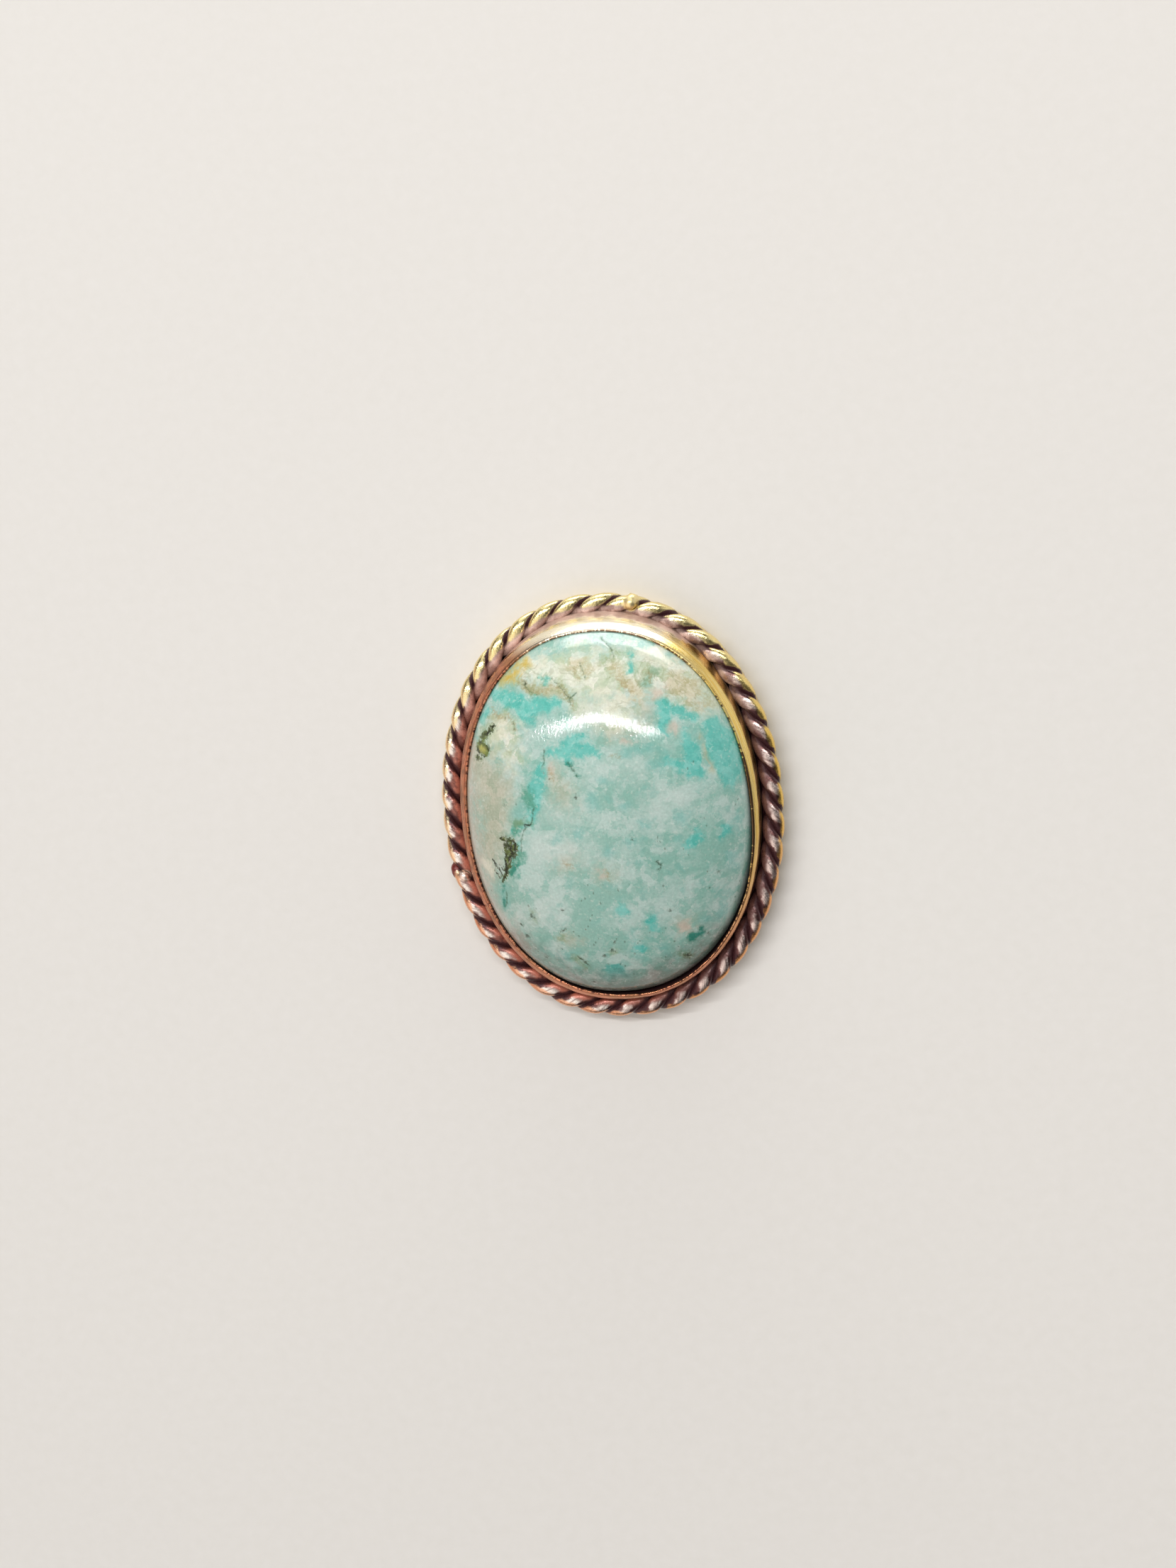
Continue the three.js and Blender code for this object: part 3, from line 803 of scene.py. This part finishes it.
def wire_material():
    """Dark in the valleys and mauve on the flanks, worn pale along the crests and gold at the outer edge. Painted
    light as well: flanks, crests and gold paler towards the top and the left, a painted copper reflection towards the
    lower end, and painted reflected light on the inner side.
    """
    wire = Surface("rubbed_wire")
    cloud = wire.noise(wire.mm, 1.6, 4.0)
    grain = wire.noise(wire.mm, 10.0, 4.0, 0.65)
    drawn = wire.noise(wire.stretch(wire.field("wire", "Vector"), (3.0, 3.0, 1.2)), 1.0, 3.0)
    crest = wire.math("ADD", wire.field("crest"), wire.remap(cloud, 0.3, 0.7, -0.2, 0.2))
    outer = wire.math("ADD", wire.field("outer"), wire.remap(cloud, 0.3, 0.7, -0.12, 0.12))
    top = wire.remap(wire.axis(wire.mm, 1), 2.0, HALF_LENGTH)
    left = wire.remap(wire.axis(wire.mm, 0), 5.0, -3.0)
    low = wire.remap(wire.axis(wire.mm, 1), 1.0, -6.0, 0.0, 0.65)
    # painted light: the flanks are lighter towards the +Y end
    flank = wire.blend(top, MAUVE, rgb(0.30, 0.18, 0.16))
    colour = wire.blend(wire.remap(crest, 0.3, 0.9), DARK_TARNISH_AND_SHADE, flank)
    # painted reflected light on the inner side of the wire: dark on the right, red-brown towards the left and pale at
    # the +Y end, also over the upper inner side near that end
    inner_painted_light = wire.blend(left, rgb(0.15, 0.07, 0.06), rgb(0.52, 0.18, 0.12))
    inner_painted_light = wire.blend(top, inner_painted_light, wire.blend(wire.remap(cloud, 0.35, 0.65), rgb(0.42, 0.27, 0.22), rgb(0.86, 0.62, 0.53)))
    inner = wire.math("MULTIPLY", wire.remap(outer, 0.05, -0.4), wire.remap(crest, 0.05, 0.75, 0.05, 1.0))
    inner = wire.math("MULTIPLY", inner, wire.remap(cloud, 0.38, 0.56, 0.45, 1.0))
    upper_inner = wire.math("MULTIPLY", wire.remap(wire.axis(wire.mm, 1), 2.0, 7.0), wire.remap(outer, 0.0, -0.4))
    upper_inner = wire.math("MULTIPLY", upper_inner, wire.remap(wire.axis(wire.mm, 0), 7.0, -2.0, 0.3, 0.9))
    inner = wire.math("MAXIMUM", inner, upper_inner)
    colour = wire.blend(inner, colour, inner_painted_light)
    worn = wire.math("MULTIPLY", wire.remap(crest, 0.65, 0.92), wire.remap(drawn, 0.35, 0.5, 0.35, 1.0))
    worn = wire.math("MULTIPLY", worn, wire.remap(outer, -0.35, 0.1))
    # worn crests, painted whiter towards the left and yellower at the +Y end as painted light
    pale = wire.blend(left, rgb(0.84, 0.68, 0.62), rgb(0.95, 0.87, 0.79))
    colour = wire.blend(worn, colour, wire.blend(top, pale, rgb(0.84, 0.68, 0.55)))
    # painted copper reflection towards the lower end, and painted highlight as paler gold towards the left and the top
    gold = wire.blend(low, wire.blend(left, GOLD, rgb(0.95, 0.78, 0.50)), REFLECTED_COPPER)
    gold = wire.blend(top, gold, rgb(0.95, 0.79, 0.38))
    # the gold edge is real rubbing, widened towards the top and the left as a painted highlight
    edge = wire.math("ADD", outer, wire.math("MULTIPLY", top, 0.5))
    edge = wire.math("ADD", edge, wire.math("MULTIPLY", left, 0.26))
    rubbed = wire.math("MULTIPLY", wire.remap(edge, 0.46, 0.72), wire.remap(crest, 0.0, 0.4))
    rubbed = wire.math("MAXIMUM", rubbed, wire.field("drop"))
    drop_colour = wire.blend(left_and_low(wire), rgb(0.95, 0.79, 0.42), rgb(0.95, 0.80, 0.72))
    gold = wire.blend(wire.field("drop"), gold, drop_colour)
    bare = wire.math("MAXIMUM", rubbed, wire.remap(crest, 0.1, 0.7))
    # the painted inner light and the dark red drops are less metallic
    less_metallic = wire.math("MAXIMUM", inner, wire.field("red_drop"))
    finish = wire.math("ADD", wire.remap(rubbed, 0.0, 1.0, 0.28, 0.22), wire.remap(wire.field("drop"), 0.0, 1.0, 0.0, 0.18))
    wire.set(
        Base_Color=wire.blend(wire.field("red_drop"), wire.blend(rubbed, colour, gold), rgb(0.16, 0.025, 0.02)),
        Metallic=wire.remap(wire.math("SUBTRACT", bare, less_metallic), 0.0, 1.0, 0.2, 1.0),
        Roughness=wire.math("ADD", finish, wire.remap(grain, 0.3, 0.7, -0.06, 0.1)),
    )
    relief = wire.math("ADD", drawn, wire.math("MULTIPLY", grain, 0.8))
    wire.bump(wire.math("MULTIPLY", relief, wire.remap(wire.field("drop"), 0.0, 1.0, 1.0, 0.3)), 0.014, 0.8)
    return wire.material


def worn_flat(reach):
    """Presses back what stands out past the worn part of the rope's round."""
    return np.minimum(reach, FLAT_FROM + FLAT_KEEP * (reach - FLAT_FROM))


def swell_drops(points):
    """The points moved out over the drops of solder they lie in, and how pale or dark red each one gets."""
    pale_share = np.zeros(points.shape[:2])
    red_share = np.zeros(points.shape[:2])
    for degrees, offset, rise, radius, shade in DROPS:
        flat, _ = oval(np.radians(degrees), rope_offset + offset)
        drop = np.array([flat[0], flat[1], rope_middle + rise])
        away = points - drop
        distance = np.linalg.norm(away, axis=2)
        grown = DROP_BLEND * np.logaddexp(distance / DROP_BLEND, radius / DROP_BLEND)
        near = np.clip(2 - distance / radius, 0, 1)
        share = (near * (grown / np.maximum(distance, 1e-6) - 1))[..., None]
        points = points + share * away
        inside = np.clip(2 * near - 1, 0, 1)
        pale_share = np.maximum(pale_share, shade * inside)
        red_share = np.maximum(red_share, -shade * inside)
    return points, pale_share, red_share


def add_strand(name, node, phase, material):
    """One wire of the rope, wound left-handed round the rope's middle line."""
    angle = even_angles(STRAND_STEPS, rope_offset)
    centre, side = oval(angle, rope_offset)
    middle = np.column_stack([centre, np.full(STRAND_STEPS, rope_middle)])
    side = np.column_stack([side, np.zeros(STRAND_STEPS)])
    up = np.array([0.0, 0.0, 1.0])
    share = np.arange(STRAND_STEPS) / STRAND_STEPS
    turn = FULL_TURN * ROPE_TURNS * share + phase + 0.12 * ring_noise(angle, 2.5, phase)
    out = np.cos(turn)[:, None] * side + np.sin(turn)[:, None] * up
    spine = middle + (rope_radius - STRAND_REACH) * out
    along = np.roll(spine, -1, axis=0) - np.roll(spine, 1, axis=0)
    along /= np.linalg.norm(along, axis=1, keepdims=True)
    out -= np.sum(out * along, axis=1, keepdims=True) * along
    out /= np.linalg.norm(out, axis=1, keepdims=True)
    across = np.cross(along, out)

    spin = FULL_TURN * np.arange(STRAND_SIDES) / STRAND_SIDES
    thick = 1 + 0.04 * ring_noise(angle, 0.6, phase + 5)
    reach = STRAND_REACH * thick[:, None] * np.cos(spin)
    spread = STRAND_SPREAD * thick[:, None] * np.sin(spin)
    points = spine[:, None] + reach[..., None] * out[:, None] + spread[..., None] * across[:, None]
    outer = np.sum((points - middle[:, None]) * side[:, None], axis=2) / rope_radius
    height = (points[..., 2] - rope_middle) / rope_radius
    points = points + ((worn_flat(outer) - outer) * rope_radius)[..., None] * side[:, None]
    points = points + ((worn_flat(height) - height) * rope_radius)[..., None] * up
    points, drop, red_drop = swell_drops(points)
    length = np.repeat(share * FULL_TURN * (rope_offset + (HALF_WIDTH + HALF_LENGTH) / 2), STRAND_SIDES)
    fields = {
        "crest": np.tile(np.cos(spin), STRAND_STEPS),
        "outer": outer.ravel(),
        "drop": drop.ravel(),
        "red_drop": red_drop.ravel(),
        "wire": np.column_stack([np.tile(np.cos(spin), STRAND_STEPS), np.tile(np.sin(spin), STRAND_STEPS), length]),
    }
    faces = wrapped_faces(STRAND_STEPS, STRAND_SIDES)
    return add_piece(name, points.reshape(-1, 3), faces, material, node, fields)


# The back plate

PLATE_COLUMNS = 480
PLATE_ROUND = 0.15


def plate_material():
    """Brushed along the oval, with patches of light tarnish, and dark on top under the border."""
    brass = Surface("brushed_brass", Metallic=1.0)
    cloud = brass.noise(brass.mm, 0.8, 4.0)
    brushed = brass.noise(brass.stretch(brass.mm, (14.0, 0.7, 14.0)), 1.0, 4.0, 0.6)
    bright = brass.blend(brass.remap(brushed, 0.35, 0.65), GOLD, PALE_GOLD)
    bright = brass.blend(brass.remap(cloud, 0.5, 0.7, 0.0, 0.5), bright, MAUVE)
    top = brass.remap(brass.axis(brass.mm, 2), plate_high[2] - 0.25, plate_high[2] - 0.05)
    brass.set(
        Base_Color=brass.blend(top, bright, DARK_TARNISH_AND_SHADE),
        Roughness=brass.remap(brushed, 0.3, 0.7, 0.25, 0.42),
    )
    brass.bump(brushed, 0.01, 0.6)
    return brass.material


def add_plate():
    """A sheet with rounded edges, so that its rim is eased."""
    ease = np.linspace(0, math.pi / 2, 7)
    rim = plate_offset - PLATE_ROUND
    lower = [(rim + PLATE_ROUND * math.sin(a), PLATE_ROUND * (1 - math.cos(a))) for a in ease]
    upper = [(offset, plate_high[2] - height) for offset, height in reversed(lower)]
    section = np.array(lower + upper)
    angle = even_angles(PLATE_COLUMNS, plate_offset)
    flat, _ = oval(np.broadcast_to(angle[:, None], (PLATE_COLUMNS, len(section))), section[:, 0][None, :])
    height = np.broadcast_to(section[:, 1], flat.shape[:2])
    points = np.concatenate([flat, height[..., None]], -1).reshape(-1, 3)
    rows = len(section)
    column = np.arange(PLATE_COLUMNS)
    faces = [f for f in wrapped_faces(PLATE_COLUMNS, rows) if not {f[0] % rows, f[2] % rows} == {rows - 1, 0}]
    faces.append((column[::-1] * rows).tolist())
    faces.append((column * rows + rows - 1).tolist())
    return add_piece("back_sheet", points, faces, plate_material(), "back_plate")


add_stone()
add_bezel()
strand_material = wire_material()
add_strand("border_strand_a", "twisted_wire_a", 0.0, strand_material)
add_strand("border_strand_b", "twisted_wire_b", math.pi, strand_material)
add_plate()


# Floor, light and camera


def add_floor():
    half = 0.6
    mesh = bpy.data.meshes.new("floor")
    mesh.from_pydata([(-half, -half, 0), (half, -half, 0), (half, half, 0), (-half, half, 0)], [], [(0, 1, 2, 3)])
    paper = Surface("pale_paper")
    fibre = paper.noise(paper.mm, 1.5, 5.0, 0.6)
    paper.set(
        Base_Color=paper.blend(fibre, rgb(0.72, 0.70, 0.66), rgb(0.78, 0.76, 0.73)),
        Roughness=paper.remap(fibre, 0.3, 0.7, 0.65, 0.85),
    )
    paper.bump(fibre, 0.02, 0.4)
    mesh.materials.append(paper.material)
    floor = bpy.data.objects.new("floor", mesh)
    bpy.context.scene.collection.objects.link(floor)


STRIP_WIDTH = 0.007
STRIP_POWER = 2.9  # watts for each metre of strip
OVERHEAD_SIZE = 0.3
OVERHEAD_POWER = 0.6


def add_light(name, place, length, width, power, turn=0.0):
    """A lamp facing the floor, its length along X turned by some degrees, in metres and watts."""
    light = bpy.data.lights.new(name, "AREA")
    light.shape = "RECTANGLE"
    light.size = length
    light.size_y = width
    light.energy = power
    lamp = bpy.data.objects.new(name, light)
    lamp.location = place
    lamp.rotation_euler = (0.0, 0.0, math.radians(turn))
    bpy.context.scene.collection.objects.link(lamp)
    return lamp


def add_strip(name, place, length, turn):
    """A narrow strip of light, which draws the streak across the stone."""
    add_light(name, place, length, STRIP_WIDTH, STRIP_POWER * length, turn)


def add_overhead():
    """A soft light from above that shows in no reflection."""
    lamp = add_light("overhead", (-0.04, 0.2, 0.5), OVERHEAD_SIZE, OVERHEAD_SIZE, OVERHEAD_POWER)
    lamp.visible_glossy = False


# Soft light round the object: (direction, how much flatter than round, spread where it is full and where it ends,
# colour)
GLOWS = [
    ((-0.5, -0.36, 0.79), 1.0, 0.35, 0.75, (1.05, 0.98, 0.93)),
    ((0.1, 0.98, 0.03), 4.4, 0.4, 0.65, (10.0, 10.0, 9.8)),
    ((-0.1, 0.9, 0.42), 1.0, 0.2, 0.55, (0.9, 0.9, 0.85)),
    ((0.9, 0.3, 0.27), 1.0, 0.17, 0.6, (0.75, 0.75, 0.72)),
    ((-0.95, -0.1, 0.1), 1.6, 0.3, 0.8, (0.55, 0.28, 0.2)),
]


def set_world(horizon, zenith):
    """A dim room, easing from the horizon to overhead, with broad glows on some sides."""
    world = bpy.data.worlds.new("soft_room")
    world.use_nodes = True
    sky = Nodes(world.node_tree)
    direction = sky.node("TexCoord").outputs["Generated"]
    rise = sky.remap(sky.axis(direction, 2), 0.15, 0.55)
    light = sky.blend(rise, rgb(*horizon), rgb(*zenith))
    for towards, flatness, full, end, colour in GLOWS:
        away = sky.vector("SUBTRACT", direction, Vector(towards).normalized())
        away = sky.vector("MULTIPLY", away, (1.0, 1.0, flatness))
        share = sky.remap(sky.vector("LENGTH", away, (0.0, 0.0, 0.0), "Value"), end, full)
        light = sky.blend(share, light, rgb(*colour), "ADD")
    sky.feed(sky.tree.nodes["Background"].inputs["Color"], light)
    bpy.context.scene.world = world


# The photograph's view: 1659 by 2212 pixels, its camera leaning towards +X and +Y
IMAGE_WIDTH = 1659
IMAGE_HEIGHT = 2212
PIXELS_PER_MM = 26.7
CAMERA_DISTANCE = 120.0
LEAN_X = math.radians(10.36)
LEAN_Y = math.radians(9.23)
ROLL = math.radians(5.28)
TARGET_PIXEL = (862.7, 1138.7)


def add_camera():
    sensor = 36.0
    camera = bpy.data.cameras.new("camera")
    camera.sensor_width = sensor
    camera.lens = sensor * PIXELS_PER_MM * CAMERA_DISTANCE / IMAGE_HEIGHT
    camera.shift_x = (IMAGE_WIDTH / 2 - TARGET_PIXEL[0]) / IMAGE_HEIGHT
    camera.shift_y = (TARGET_PIXEL[1] - IMAGE_HEIGHT / 2) / IMAGE_HEIGHT
    camera.clip_start = 0.001
    back = Vector((math.tan(LEAN_X), math.tan(LEAN_Y), 1.0)).normalized()
    right = Vector((math.sin(ROLL), math.cos(ROLL), 0.0)).cross(back).normalized()
    turned = Matrix((right, back.cross(right), back)).transposed().to_4x4()
    target = Vector((0.0, 0.0, rope_middle * MM))
    holder = bpy.data.objects.new("camera", camera)
    holder.matrix_world = Matrix.Translation(target + back * CAMERA_DISTANCE * MM) @ turned
    bpy.context.scene.collection.objects.link(holder)
    bpy.context.scene.camera = holder


add_floor()
set_world((0.14, 0.13, 0.13), (0.1, 0.1, 0.1))
add_strip("strip_left", (-0.2, 0.217, 0.5), 0.3, 5.0)
add_strip("strip_right", (0.095, 0.2, 0.5), 0.3, -12.0)
add_overhead()
add_camera()
bpy.context.scene.view_settings.view_transform = "Standard"
